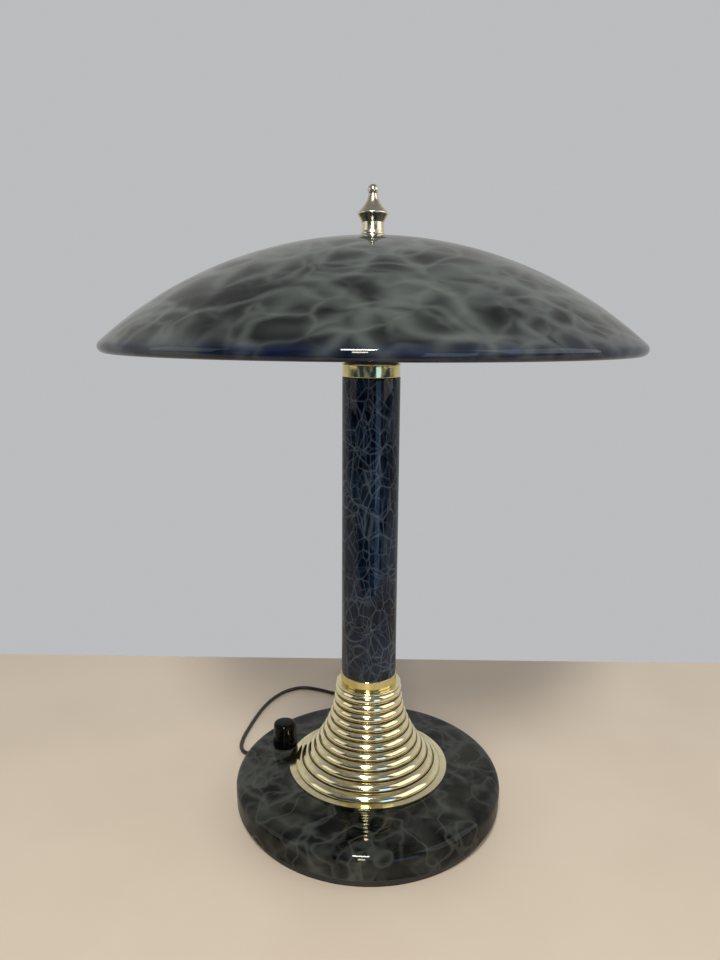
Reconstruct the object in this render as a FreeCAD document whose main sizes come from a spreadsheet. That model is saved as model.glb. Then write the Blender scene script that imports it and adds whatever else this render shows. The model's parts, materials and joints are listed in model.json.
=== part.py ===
import FreeCAD, Part
import math
import os
import Sketcher
from FreeCAD import Placement, Rotation, Vector

# Dome table lamp on a weighted round base. Millimetres, +Z up.
# The origin is the middle of the underside, where the lamp stands.
# The front is -Y; the dimmer knob and the mains lead are on the -X side, towards the back.

doc = FreeCAD.newDocument("dome_lamp")

# ---------------------------------------------------------------- driving dimensions
CELLS = {
    # base
    "base_dia": 198.4, "lip_dia": 197.8, "lip_height": 7.5, "lip_inner_dia": 192.4, "edge_radius": 7.0,
    "shoulder_height": 26.4, "crown_height": 29.9, "crown_dia": 120.4, "shell_wall": 1.4,
    "pad_dia": 189.2, "pad_inner_dia": 132.0, "pad_thick": 1.6,
    "cover_dia": 191.2, "cover_floor": 1.2, "cover_wall": 2.2, "cover_top": 12.0,
    "weight_dia": 181.0, "weight_foot": 6.0, "weight_top": 20.0, "weight_boss_dia": 48.0,
    "screw_ring": 50.0, "screw_shank": 3.9, "screw_head": 7.2, "screw_head_height": 1.2,
    # rod that clamps the whole stand together
    "rod_dia": 10.0, "rod_bore": 7.6, "rod_foot": 11.4, "rod_head": 345.0, "thread_gap": 0.05,
    "rod_hole": 10.8, "nut_flats": 14.0,
    # ribbed skirt
    "skirt_top": 98.0, "skirt_neck_dia": 47.4, "skirt_foot_dia": 118.8, "skirt_wall": 2.4,
    "bead_height": 2.0, "rib_pitch": 6.9, "rib_pitch_step": 0.2236, "rib_rise": 1.4, "groove_depth": 0.7,
    "skirt_hole": 20.0,
    # column
    "column_dia": 40.0, "column_wall": 1.2, "column_foot": 105.5, "column_head": 322.0,
    "collar_dia": 41.0, "spigot_gap": 0.1, "spigot_length": 10.5, "spigot_wall": 2.0,
    "top_collar_height": 9.0, "cap_dia": 37.2, "cap_height": 2.4, "column_nut_height": 5.0,
    # socket hub and lamp holders
    "lamp_axis": 351.0, "hub_foot": 338.6, "hub_top": 363.0, "hub_dia": 34.0, "hub_wall": 2.0,
    "hub_floor": 3.0, "cover_disc": 2.0, "nipple_inner": 12.5, "nipple_outer": 25.8,
    "holder_neck_dia": 16.0, "holder_shoulder": 22.0, "holder_dia": 25.0, "holder_mouth": 57.0,
    "holder_bore": 16.6, "holder_floor": 29.0, "shell_dia": 15.8, "shell_inner_dia": 14.2,
    "cap_outer_dia": 13.8, "cap_wall": 0.45, "cap_tip": 31.2, "cap_rim": 54.0,
    "bulb_neck_dia": 12.7, "bulb_widest_dia": 35.0, "bulb_widest": 84.0, "bulb_tip": 131.2, "glass_wall": 0.8,
    "stem_dia": 10.6, "stem_foot": 47.0, "stem_top": 72.0, "filament_dia": 0.7, "filament_reach": 86.0,
    # shade and its seat
    "shade_apex": 413.4, "shade_sheet": 1.0, "rim_bead": 4.0, "rim_ring_dia": 345.4, "rim_height": 342.8,
    "seat_boss_dia": 10.4, "shade_hole": 10.56, "seat_foot": 408.0, "seat_disc": 2.0, "seat_dia": 28.0,
    "gasket_thick": 1.9, "stud_dia": 5.9, "stud_foot": 398.0, "stud_top": 420.0, "stud_bore": 6.1,
    # finial
    "washer_dia": 19.2, "washer_foot": 413.5, "washer_thick": 1.4, "finial_foot": 415.0,
    "finial_top": 446.7, "finial_dia": 20.4, "ball_dia": 7.4,
    # dimmer
    "knob_x": -66.0, "knob_y": 23.0, "knob_foot": 30.3, "knob_dia": 18.7, "grip_dia": 17.4,
    "knob_top": 49.6, "grip_foot": 38.2, "shaft_dia": 6.0,
    "bushing_dia": 7.0, "bushing_bore": 6.12, "housing_side": 30.0, "housing_foot": 13.0,
    "housing_top": 25.2, "housing_wall": 1.5, "notch_width": 40.0,
    "board_side": 26.0, "board_gap": 0.2, "board_thick": 1.6, "bushing_flange_dia": 12.0, "bushing_top": 33.0,
    "dimmer_nut_foot": 29.75, "dimmer_nut_height": 1.9, "dimmer_nut_flats": 11.0,
    "wafer_dia": 18.0, "wafer_foot": 18.4, "wafer_top": 20.0, "shaft_foot": 17.0, "shaft_top": 46.0,
    "knob_recess_dia": 14.6, "knob_recess_top": 33.4, "knob_bore_top": 46.2,
    # mains wires inside
    "wire_dia": 1.6, "wire_lane": 1.1, "wire_side": 1.6, "wire_start": 52.0, "wire_end": 28.5,
    "left_wire_height": 9.6, "right_wire_height": 7.4,
    # mains lead
    "cord_dia": 3.2, "exit_angle": 153.0, "exit_height": 4.6, "gland_droop": 5.3, "gland_length": 16.0,
    "gland_dia": 5.6, "gland_tip_dia": 4.0, "gland_neck_dia": 5.0,
    "coil_x": -4.0, "coil_y": 132.0, "coil_foot": 0.6, "coil_height": 13.2, "coil_inner": 11.0,
    "coil_outer": 24.2, "tie_width": 6.0, "tie_thick": 0.5,
    "plug_x": -3.0, "plug_back": 170.0, "plug_relief": 12.0, "plug_length": 33.0, "plug_width": 35.0,
    "plug_thick": 13.6, "pin_dia": 4.0, "pin_length": 19.0, "pin_spacing": 18.6,
}

sheet = doc.addObject("Spreadsheet::Sheet", "Sizes")
for row, (alias, number) in enumerate(CELLS.items(), start=1):
    sheet.set(f"A{row}", alias)
    sheet.set(f"B{row}", str(number))
    sheet.setAlias(f"B{row}", alias)
doc.recompute()


class Size:
    """A length with its value and the sheet expression that gives it."""

    def __init__(self, value, text):
        self.value = float(value)
        self.text = text

    def __add__(self, other):
        other = size(other)
        return Size(self.value + other.value, f"({self.text} + {other.text})")

    def __sub__(self, other):
        other = size(other)
        return Size(self.value - other.value, f"({self.text} - {other.text})")

    def __mul__(self, other):
        other = size(other)
        return Size(self.value * other.value, f"({self.text} * {other.text})")

    def __truediv__(self, other):
        other = size(other)
        return Size(self.value / other.value, f"({self.text} / {other.text})")

    def __neg__(self):
        return Size(-self.value, f"(-1 * {self.text})")

    def root(self):
        return Size(math.sqrt(self.value), f"sqrt({self.text})")


def size(number):
    return number if isinstance(number, Size) else Size(number, str(number))


def cell(alias):
    return Size(getattr(sheet, alias), f"Sizes.{alias}")


def half(alias):
    return cell(alias) / 2


# ---------------------------------------------------------------- making pieces
pieces = []


def piece(obj, label):
    """Name a finished sub-part; its label is its node and its file."""
    obj.Label = label
    pieces.append(obj)
    return obj


def bind(obj, **places):
    """Bind properties to the sheet: bind(obj, Radius=size) or a place such as x=size."""
    for name, value in places.items():
        path = f"Placement.Base.{name}" if name in ("x", "y", "z") else name
        obj.setExpression(path, size(value).text)
    return obj


def origin_plane(body, role):
    return next(part for part in body.Origin.OriginFeatures if part.Role == role)


def arc_geometry(start, end, radius, turn, major):
    """Arc from start to end; turn is +1 counter-clockwise and -1 clockwise."""
    chord = end - start
    reach = math.sqrt(max(radius ** 2 - (chord.Length / 2) ** 2, 0.0))
    left = Vector(-chord.y, chord.x, 0).normalize()
    side = -turn if major else turn
    centre = (start + end) * 0.5 + left * (reach * side)
    first, last = (start, end) if turn > 0 else (end, start)
    low = math.atan2(first.y - centre.y, first.x - centre.x)
    high = math.atan2(last.y - centre.y, last.x - centre.x)
    if high < low:
        high += 2 * math.pi
    return Part.ArcOfCircle(Part.Circle(centre, Vector(0, 0, 1), radius), low, high)


def outline(body, label, corners, role="XZ_Plane", height=None):
    """Closed sketch through corners (x, y), each optionally followed by an arc (radius, turn, major)."""
    sketch = body.newObject("Sketcher::SketchObject", label)
    sketch.AttachmentSupport = [(origin_plane(body, role), "")]
    sketch.MapMode = "FlatFace"
    if height is not None:
        sketch.AttachmentOffset = Placement(Vector(0, 0, height.value), Rotation())
        sketch.setExpression("AttachmentOffset.Base.z", height.text)
    places = [(size(corner[0]), size(corner[1])) for corner in corners]
    points = [Vector(x.value, y.value, 0) for x, y in places]
    count = len(corners)
    ends = []
    for index, corner in enumerate(corners):
        start, end = points[index], points[(index + 1) % count]
        if len(corner) > 2:
            radius, turn, major = corner[2]
            sketch.addGeometry(arc_geometry(start, end, size(radius).value, turn, major))
            ends.append((1, 2) if turn > 0 else (2, 1))
        else:
            sketch.addGeometry(Part.LineSegment(start, end))
            ends.append((1, 2))
    rules, bound = [], []
    for index in range(count):
        after = (index + 1) % count
        rules.append(Sketcher.Constraint("Coincident", index, ends[index][1], after, ends[after][0]))
    for index, (x, y) in enumerate(places):
        for kind, value in (("DistanceX", x), ("DistanceY", y)):
            bound.append((len(rules), f"{kind}_{index}", value))
            rules.append(Sketcher.Constraint(kind, -1, 1, index, ends[index][0], value.value))
    for index, corner in enumerate(corners):
        if len(corner) > 2:
            radius = size(corner[2][0])
            bound.append((len(rules), f"Radius_{index}", radius))
            rules.append(Sketcher.Constraint("Radius", index, radius.value))
    sketch.addConstraint(rules)
    for number, name, value in bound:
        sketch.renameConstraint(number, name)
        sketch.setExpression(f"Constraints.{name}", value.text)
    return sketch


def turned(label, corners, node=True):
    """Body turned about its own Z axis from an outline of (radius, height) corners."""
    body = doc.addObject("PartDesign::Body", label)
    profile = outline(body, f"{label}_outline", corners)
    revolution = body.newObject("PartDesign::Revolution", f"{label}_turning")
    revolution.Profile = profile
    revolution.ReferenceAxis = (profile, ["V_Axis"])
    revolution.Angle = 360
    profile.Visibility = False
    if node:
        piece(body, label)
    return body


def drill(body, label, holes, height=None, depth=None):
    """Pocket round holes (x, y, radius) upwards from a level, through all unless a depth is given."""
    sketch = body.newObject("Sketcher::SketchObject", f"{label}_centres")
    sketch.AttachmentSupport = [(origin_plane(body, "XY_Plane"), "")]
    sketch.MapMode = "FlatFace"
    if height is not None:
        sketch.AttachmentOffset = Placement(Vector(0, 0, height.value), Rotation())
        sketch.setExpression("AttachmentOffset.Base.z", height.text)
    for index, (x, y, radius) in enumerate(holes):
        x, y, radius = size(x), size(y), size(radius)
        sketch.addGeometry(Part.Circle(Vector(x.value, y.value, 0), Vector(0, 0, 1), radius.value))
        for kind, value in (("DistanceX", x), ("DistanceY", y), ("Radius", radius)):
            if kind == "Radius":
                number = sketch.addConstraint(Sketcher.Constraint(kind, index, value.value))
            else:
                number = sketch.addConstraint(Sketcher.Constraint(kind, -1, 1, index, 3, value.value))
            sketch.renameConstraint(number, f"{kind}_{index}")
            sketch.setExpression(f"Constraints.{kind}_{index}", value.text)
    doc.recompute()
    before = body.Shape.Volume
    pocket = body.newObject("PartDesign::Pocket", f"{label}_pocket")
    pocket.Profile = sketch
    pocket.Reversed = True
    if depth is None:
        pocket.Type = "ThroughAll"
    else:
        pocket.Length = depth.value
        pocket.setExpression("Length", depth.text)
    doc.recompute()
    if body.Shape.Volume >= before:
        raise RuntimeError(f"{label} cut nothing")
    return pocket


def cylinder(label, radius, height, **place):
    obj = doc.addObject("Part::Cylinder", label)
    return bind(obj, Radius=radius, Height=height, **place)


def cut(label, base, tool, node=True):
    obj = doc.addObject("Part::Cut", label)
    obj.Base = base
    obj.Tool = tool
    return piece(obj, label) if node else obj


def fuse(label, shapes, node=True):
    obj = doc.addObject("Part::MultiFuse", label)
    obj.Shapes = shapes
    return piece(obj, label) if node else obj


def group(label, members):
    obj = doc.addObject("Part::Compound", label)
    obj.Links = members
    return piece(obj, label)


def nut(label, foot, height, flats, bore, **place):
    """Hexagon nut standing on the height foot, on the lamp's axis unless x and y say otherwise."""
    hexagon = doc.addObject("Part::Prism", f"{label}_hexagon")
    hexagon.Polygon = 6
    bind(hexagon, Circumradius=size(flats) / math.sqrt(3), Height=height, z=foot, **place)
    hole = cylinder(f"{label}_hole", size(bore) / 2, height, z=foot, **place)
    return cut(label, hexagon, hole)


def rounded_path(points, share=0.45):
    """Straight runs joined by tangent arcs; each arc is as large as its two runs allow."""
    edges, radii, last = [], [], points[0]
    for before, corner, after in zip(points, points[1:], points[2:]):
        back, ahead = before - corner, after - corner
        reach = share * min(back.Length, ahead.Length)
        turn = math.pi - back.getAngle(ahead)
        radii.append(reach / math.tan(turn / 2))
        start = corner + back.normalize() * reach
        end = corner + ahead.normalize() * reach
        inward = (start + end) * 0.5 - corner
        middle = corner + inward * ((1 - math.cos(turn / 2)) / math.sin(turn / 2) ** 2)
        edges.append(Part.LineSegment(last, start).toShape())
        edges.append(Part.Arc(start, middle, end).toShape())
        last = end
    edges.append(Part.LineSegment(last, points[-1]).toShape())
    return Part.Wire(edges), radii


def tube_solid(points, radius, share=0.45):
    path, radii = rounded_path(points, share)
    ring = Part.Wire(Part.Circle(points[0], points[1] - points[0], radius).toShape())
    solid = path.makePipeShell([ring], True, True)
    expected = math.pi * radius ** 2 * path.Length
    if abs(solid.Volume / expected - 1) > 0.01:
        raise RuntimeError("a swept tube has the wrong volume")
    return solid, path.Length, radii


def fixed_shape(label, shape):
    """Sub-part whose shape comes straight from Part's own functions."""
    obj = doc.addObject("Part::Feature", label)
    obj.Shape = shape
    return piece(obj, label)


knob_angle = math.degrees(math.atan2(CELLS["knob_y"], CELLS["knob_x"]))
knob_ring = math.hypot(CELLS["knob_x"], CELLS["knob_y"])


def radial_box(label, near, far, width, foot, top):
    """Box along the knob's radius, from the radius near to the radius far."""
    box = doc.addObject("Part::Box", label)
    bind(box, Length=size(far) - near, Width=width, Height=size(top) - foot, z=foot)
    turn = Rotation(Vector(0, 0, 1), knob_angle)
    corner = turn.multVec(Vector(size(near).value, -size(width).value / 2, 0))
    box.Placement = Placement(Vector(corner.x, corner.y, size(foot).value), turn)
    return box


# ---------------------------------------------------------------- base
def make_base():
    inner = half("base_dia") - cell("shell_wall")
    bend = half("base_dia") - cell("edge_radius")
    bend_height = cell("shoulder_height") - cell("edge_radius")
    inner_bend = cell("edge_radius") - cell("shell_wall")
    shell = turned("base_shell", [
        (half("rod_hole"), cell("crown_height")),
        (half("crown_dia"), cell("crown_height")),
        (bend, cell("shoulder_height"), (cell("edge_radius"), -1, False)),
        (half("base_dia"), bend_height),
        (half("lip_dia"), cell("lip_height")),
        (half("lip_inner_dia"), cell("lip_height")),
        (half("lip_inner_dia"), cell("lip_height") + 1.2),
        (half("lip_dia") - cell("shell_wall"), cell("lip_height") + 1.2),
        (inner, bend_height, (inner_bend, 1, False)),
        (bend, cell("shoulder_height") - cell("shell_wall")),
        (half("crown_dia"), cell("crown_height") - cell("shell_wall")),
        (half("rod_hole"), cell("crown_height") - cell("shell_wall")),
    ])
    drill(shell, "bushing_hole", [(cell("knob_x"), cell("knob_y"), half("bushing_dia") + 0.1)])

    turned("base_pad", [
        (half("pad_inner_dia"), 0), (half("pad_dia"), 0),
        (half("pad_dia"), cell("pad_thick")), (half("pad_inner_dia"), cell("pad_thick")),
    ])

    floor_top = cell("pad_thick") + cell("cover_floor")
    wall_inner = half("cover_dia") - cell("cover_wall")
    boss_inner, boss_outer = cell("screw_ring") - 4, cell("screw_ring") + 4
    cover = turned("bottom_cover_moulding", [
        (0, cell("pad_thick")), (half("cover_dia"), cell("pad_thick")),
        (half("cover_dia"), cell("cover_top")), (wall_inner, cell("cover_top")),
        (wall_inner, floor_top), (boss_outer, floor_top),
        (boss_outer, cell("weight_foot")), (boss_inner, cell("weight_foot")),
        (boss_inner, floor_top), (0, floor_top),
    ], node=False)
    angles = [90, 210, 330]
    spots = [(cell("screw_ring") * math.cos(math.radians(a)),
              cell("screw_ring") * math.sin(math.radians(a))) for a in angles]
    drill(cover, "cover_screw_holes", [(x, y, half("screw_shank") + 0.4) for x, y in spots])
    exit_hole = cylinder("gland_hole", half("gland_neck_dia") + 0.05, 12)
    exit_hole.Placement = gland_place(-7.0)
    cut("bottom_cover", cover, exit_hole)

    weight = turned("base_weight_casting", [
        (half("rod_hole"), cell("weight_foot") + 10), (18, cell("weight_foot") + 10),
        (18, cell("weight_foot")), (half("weight_dia"), cell("weight_foot")),
        (half("weight_dia"), cell("weight_top")), (half("weight_boss_dia"), cell("weight_top")),
        (half("weight_boss_dia"), cell("crown_height") - cell("shell_wall")),
        (half("rod_hole"), cell("crown_height") - cell("shell_wall")),
    ], node=False)
    drill(weight, "weight_screw_holes", [(x, y, half("screw_shank") + 0.05) for x, y in spots],
          cell("weight_foot"), size(11))
    notch = radial_box("dimmer_notch", 46, 96, cell("notch_width"), 5, 21)
    channel = radial_box("wire_channel", 10, 50, 16, 5, 15)
    cut("base_weight", weight, fuse("weight_recess", [notch, channel], node=False))

    screws = []
    for index, (x, y) in enumerate(spots):
        head_foot = cell("pad_thick") - cell("screw_head_height") - 0.05
        head = cylinder(f"screw_head_{index}", half("screw_head"), cell("screw_head_height"),
                        x=x, y=y, z=head_foot)
        shank = cylinder(f"screw_shank_{index}", half("screw_shank"), 15,
                         x=x, y=y, z=cell("pad_thick") - 0.1)
        screws.append(fuse(f"cover_screw_{index}", [head, shank], node=False))
    group("cover_screws", screws)


def gland_place(along):
    """Place on the lead's outlet: local +Z runs out of the base, down by the droop."""
    exit_turn = math.radians(CELLS["exit_angle"])
    droop = math.radians(CELLS["gland_droop"])
    out = Vector(math.cos(exit_turn) * math.cos(droop),
                 math.sin(exit_turn) * math.cos(droop), -math.sin(droop))
    wall = CELLS["cover_dia"] / 2
    mouth = Vector(math.cos(exit_turn) * wall, math.sin(exit_turn) * wall, CELLS["exit_height"])
    return Placement(mouth + out * along, Rotation(Vector(0, 0, 1), out))


# ---------------------------------------------------------------- rod and column
def make_stand():
    turned("centre_rod", [
        (half("rod_bore"), cell("rod_foot")), (half("rod_dia"), cell("rod_foot")),
        (half("rod_dia"), cell("rod_head")), (half("rod_bore"), cell("rod_head")),
    ])
    clamp = cell("weight_foot") + 10
    turned("rod_lock_washer", [
        (half("rod_dia") + 0.1, clamp - 0.7), (9.5, clamp - 0.7),
        (9.5, clamp), (half("rod_dia") + 0.1, clamp),
    ])
    bore = cell("rod_dia") + cell("thread_gap") * 2
    nut("rod_nut", clamp - 3.9, size(3.2), cell("nut_flats"), bore)

    # The skirt is a trumpet: its mean line is one arc, upright at the neck.
    neck, foot = half("skirt_neck_dia"), half("skirt_foot_dia")
    drop = cell("skirt_top") - cell("crown_height")
    spread = foot - neck
    flare = (spread * spread + drop * drop) / (spread * 2)

    def trumpet(height, depth):
        """Radius at a height, measured depth inside the mean line."""
        below = cell("skirt_top") - height
        far = flare + depth
        return neck + flare - (far * far - below * below).root()

    corners = [
        (half("skirt_hole"), cell("skirt_top")),
        (neck - 0.8, cell("skirt_top"), (cell("bead_height") * 0.52, -1, False)),
    ]
    height = cell("skirt_top") - cell("bead_height")
    groove = cell("groove_depth")
    for index in range(11):
        pitch = cell("rib_pitch") - cell("rib_pitch_step") * index
        lower = height - pitch
        upper_r = (neck - 0.8) if index == 0 else trumpet(height, groove)
        lower_r = trumpet(lower, groove)
        chord = (lower_r - upper_r) * (lower_r - upper_r) + pitch * pitch
        rise = cell("rib_rise")
        radius = (chord / 4 + rise * rise) / (rise * 2)
        corners.append((upper_r, height, (radius, -1, False)))
        height = lower
    corners += [
        (trumpet(height, groove), height),
        (foot, height - 0.6),
        (foot, cell("crown_height")),
        (trumpet(cell("crown_height"), cell("skirt_wall")), cell("crown_height"),
         (flare + cell("skirt_wall"), -1, False)),
        (trumpet(cell("skirt_top") - 1.2, cell("skirt_wall")), cell("skirt_top") - 1.2),
        (half("skirt_hole"), cell("skirt_top") - 1.2),
    ]
    turned("skirt", corners)

    column_inner = half("column_dia") - cell("column_wall")
    spigot = column_inner - cell("spigot_gap")
    hollow = spigot - cell("spigot_wall")
    turned("lower_collar", [
        (half("rod_hole"), cell("skirt_top") - 3), (half("skirt_hole") - 0.1, cell("skirt_top") - 3),
        (half("skirt_hole") - 0.1, cell("skirt_top")), (half("collar_dia") - 0.5, cell("skirt_top")),
        (half("collar_dia"), cell("skirt_top") + 0.5), (half("collar_dia"), cell("column_foot") - 0.5),
        (half("collar_dia") - 0.5, cell("column_foot")), (spigot, cell("column_foot")),
        (spigot, cell("column_foot") + cell("spigot_length")),
        (hollow, cell("column_foot") + cell("spigot_length")),
        (hollow, cell("column_foot") - 3.5), (half("rod_hole"), cell("column_foot") - 3.5),
    ])
    turned("column_tube", [
        (column_inner, cell("column_foot")), (half("column_dia"), cell("column_foot")),
        (half("column_dia"), cell("column_head")), (column_inner, cell("column_head")),
    ])
    collar_top = cell("column_head") + cell("top_collar_height")
    turned("top_collar", [
        (half("rod_hole"), collar_top), (half("column_dia") - 0.6, collar_top),
        (half("column_dia"), collar_top - 0.6), (half("column_dia"), cell("column_head") + 0.5),
        (half("column_dia") - 0.5, cell("column_head")), (spigot, cell("column_head")),
        (spigot, cell("column_head") - cell("spigot_length")),
        (hollow, cell("column_head") - cell("spigot_length")),
        (hollow, collar_top - 4), (half("rod_hole"), collar_top - 4),
    ])
    cap_top = collar_top + cell("cap_height")
    turned("column_cap", [
        (half("rod_hole"), collar_top), (half("cap_dia"), collar_top),
        (half("cap_dia"), cap_top - 0.6), (half("cap_dia") - 0.6, cap_top), (half("rod_hole"), cap_top),
    ])
    nut("column_nut", cap_top, cell("column_nut_height"), size(17), bore)


# ---------------------------------------------------------------- socket hub, holders and bulbs
def make_sockets():
    thread = half("rod_dia") + cell("thread_gap")
    hub_inner = half("hub_dia") - cell("hub_wall")
    hub = turned("socket_hub_cup", [
        (thread, cell("hub_foot")), (half("hub_dia") - 2, cell("hub_foot")),
        (half("hub_dia"), cell("hub_foot") + 2), (half("hub_dia"), cell("hub_top")),
        (hub_inner, cell("hub_top")), (hub_inner, cell("hub_foot") + cell("hub_floor")),
        (thread, cell("hub_foot") + cell("hub_floor")),
    ], node=False)
    side_bore = cylinder("hub_side_bore", thread, cell("hub_dia") + 4)
    side_bore.Placement = Placement(Vector(-CELLS["hub_dia"] / 2 - 2, 0, CELLS["lamp_axis"]),
                                    Rotation(Vector(0, 1, 0), 90))
    cut("socket_hub", hub, side_bore)
    cover_top = cell("hub_top") + cell("cover_disc")
    turned("hub_cover", [
        (thread, cell("hub_top") - 2), (hub_inner - 0.1, cell("hub_top") - 2),
        (hub_inner - 0.1, cell("hub_top")), (half("hub_dia"), cell("hub_top")),
        (half("hub_dia"), cover_top - 0.8), (half("hub_dia") - 0.8, cover_top), (thread, cover_top),
    ])
    nut("hub_nut", cover_top, size(4), cell("nut_flats"), cell("rod_dia") + cell("thread_gap") * 2)

    nipples = []
    for side, tilt in (("left", -90), ("right", 90)):
        level = Placement(Vector(0, 0, CELLS["lamp_axis"]), Rotation(Vector(0, 1, 0), tilt))

        def lay(obj):
            obj.Placement = level
            return bind(obj, z=cell("lamp_axis"))

        nipples.append(lay(turned(f"nipple_{side}", [
            (half("rod_bore"), cell("nipple_inner")), (half("rod_dia"), cell("nipple_inner")),
            (half("rod_dia"), cell("nipple_outer")), (half("rod_bore"), cell("nipple_outer")),
        ], node=False)))
        neck_end, mouth = half("hub_dia") + 0.2, cell("holder_mouth")
        body, floor = half("holder_dia"), cell("holder_floor")
        lay(turned(f"lamp_holder_{side}", [
            (thread, neck_end), (half("holder_neck_dia"), neck_end),
            (half("holder_neck_dia"), cell("holder_shoulder")), (body, cell("holder_shoulder") + 5),
            (body, mouth - 1), (body - 0.7, mouth), (half("holder_bore"), mouth),
            (half("holder_bore"), floor), (3, floor), (3, floor - 3), (thread, floor - 3),
        ]))
        inner, outer = half("shell_inner_dia"), half("shell_dia")
        shell = lay(turned(f"screw_shell_{side}", [
            (inner, floor + 1), (outer, floor + 1), (outer, cell("cap_rim")), (inner, cell("cap_rim")),
        ], node=False))
        tongue = lay(turned(f"centre_contact_{side}", [
            (0, floor), (2.4, floor), (2.4, floor + 2), (0, floor + 2),
        ], node=False))
        group(f"holder_contacts_{side}", [shell, tongue])

        cap, wall, tip = half("cap_outer_dia"), cell("cap_wall"), cell("cap_tip")
        lay(turned(f"bulb_cap_{side}", [
            (0, tip), (2.2, tip), (2.4, tip + 1), (cap, tip + 3.4), (cap, cell("cap_rim")),
            (cap - wall, cell("cap_rim")), (cap - wall, tip + 4), (2, tip + 1.8), (0, tip + 1.8),
        ]))
        glass, widest = cell("glass_wall"), cell("bulb_widest")
        neck, belly, end = half("bulb_neck_dia"), half("bulb_widest_dia"), cell("bulb_tip")
        lay(turned(f"bulb_glass_{side}", [
            (neck - glass, 46), (neck, 46), (neck, 56, (40, 1, False)),
            (belly, widest, (75, 1, False)), (3.0, end - 2.2, (3.4, 1, False)),
            (0.3, end), (0, end), (0, end - glass), (0.3, end - glass, (2.6, -1, False)),
            (2.3, end - 2.6, (74.2, -1, False)), (belly - glass, widest, (39.2, -1, False)),
            (neck - glass, 56.4),
        ]))
        stem, foot, top = half("stem_dia"), cell("stem_foot"), cell("stem_top")
        lay(turned(f"bulb_stem_{side}", [
            (0, foot), (stem, foot), (stem, foot + 1.5), (2.2, foot + 8), (1.8, top - 1), (0, top),
        ]))
        start, reach = CELLS["stem_top"] + 0.2, CELLS["filament_reach"]
        wire = [Vector(-1.2, 0, start), Vector(-6, 0, reach), Vector(6, 0, reach), Vector(1.2, 0, start)]
        filament = tube_solid(wire, CELLS["filament_dia"] / 2, share=0.2)[0]
        lay(fixed_shape(f"bulb_filament_{side}", filament))
    group("holder_nipples", nipples)


# ---------------------------------------------------------------- shade and finial
def make_shade():
    thread = half("rod_dia") + cell("thread_gap")
    bore = cell("rod_dia") + cell("thread_gap") * 2
    turned("shade_rod", [
        (half("rod_bore"), cell("hub_top") - 6), (half("rod_dia"), cell("hub_top") - 6),
        (half("rod_dia"), cell("seat_foot")), (half("rod_bore"), cell("seat_foot")),
    ])
    nut("seat_nut", cell("seat_foot") - 4.2, size(4), cell("nut_flats"), bore)
    seat_top = cell("seat_foot") + cell("seat_disc")
    turned("shade_seat", [
        (half("stud_bore"), cell("seat_foot")), (half("seat_dia"), cell("seat_foot")),
        (half("seat_dia"), seat_top), (half("seat_boss_dia"), seat_top),
        (half("seat_boss_dia"), cell("shade_apex") - 0.1), (half("stud_bore"), cell("shade_apex") - 0.1),
    ])
    turned("seat_gasket", [
        (6.5, seat_top), (13.5, seat_top), (13.5, seat_top + cell("gasket_thick")),
        (6.5, seat_top + cell("gasket_thick")),
    ])
    turned("finial_stud", [
        (0, cell("stud_foot")), (half("stud_dia"), cell("stud_foot")),
        (half("stud_dia"), cell("stud_top") - 0.6), (half("stud_dia") - 0.6, cell("stud_top")),
        (0, cell("stud_top")),
    ])

    # The dome is one arc from the apex to the rolled rim, tangent to the roll.
    ring, bead = half("rim_ring_dia"), cell("rim_bead")
    drop = cell("shade_apex") - cell("rim_height")
    dome = (ring * ring + drop * drop - bead * bead) / ((drop - bead) * 2)
    centre = cell("shade_apex") - dome
    across = ring / (dome - bead)
    upward = (cell("rim_height") - centre) / (dome - bead)
    sheet_in = dome - cell("shade_sheet")
    hole = half("shade_hole")
    curl = bead - cell("shade_sheet")
    turned("shade", [
        (hole, centre + (dome * dome - hole * hole).root(), (dome, -1, False)),
        (across * dome, centre + upward * dome, (bead, -1, True)),
        (ring - bead * 0.95, cell("rim_height") + bead * math.sqrt(1 - 0.95 ** 2)),
        (ring - curl * 0.95, cell("rim_height") + curl * math.sqrt(1 - 0.95 ** 2), (curl, 1, True)),
        (across * sheet_in, centre + upward * sheet_in, (sheet_in, 1, False)),
        (hole, centre + (sheet_in * sheet_in - hole * hole).root()),
    ])

    washer_top = cell("washer_foot") + cell("washer_thick")
    turned("finial_washer", [
        (4, cell("washer_foot")), (half("washer_dia"), cell("washer_foot")),
        (half("washer_dia"), washer_top - 0.5), (half("washer_dia") - 0.5, washer_top), (4, washer_top),
    ])
    foot, ball = cell("finial_foot"), half("ball_dia")
    ball_centre = cell("finial_top") - ball
    neck = size(2.9)
    turned("finial", [
        (half("stud_bore"), cell("washer_foot") + 0.2), (3.9, cell("washer_foot") + 0.2),
        (3.9, foot), (8.2, foot), (8.2, foot + 0.7, (12, -1, False)),
        (7.3, foot + 5.4), (7.3, foot + 9.6),
        (half("finial_dia") - 0.2, foot + 12.2, (1.2, 1, False)),
        (half("finial_dia") - 0.6, foot + 14.2, (18.5, -1, False)),
        (neck, ball_centre - (ball * ball - neck * neck).root(), (ball, 1, False)),
        (0, cell("finial_top")), (0, foot + 9.8), (half("stud_bore"), foot + 9.8),
    ])


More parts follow.
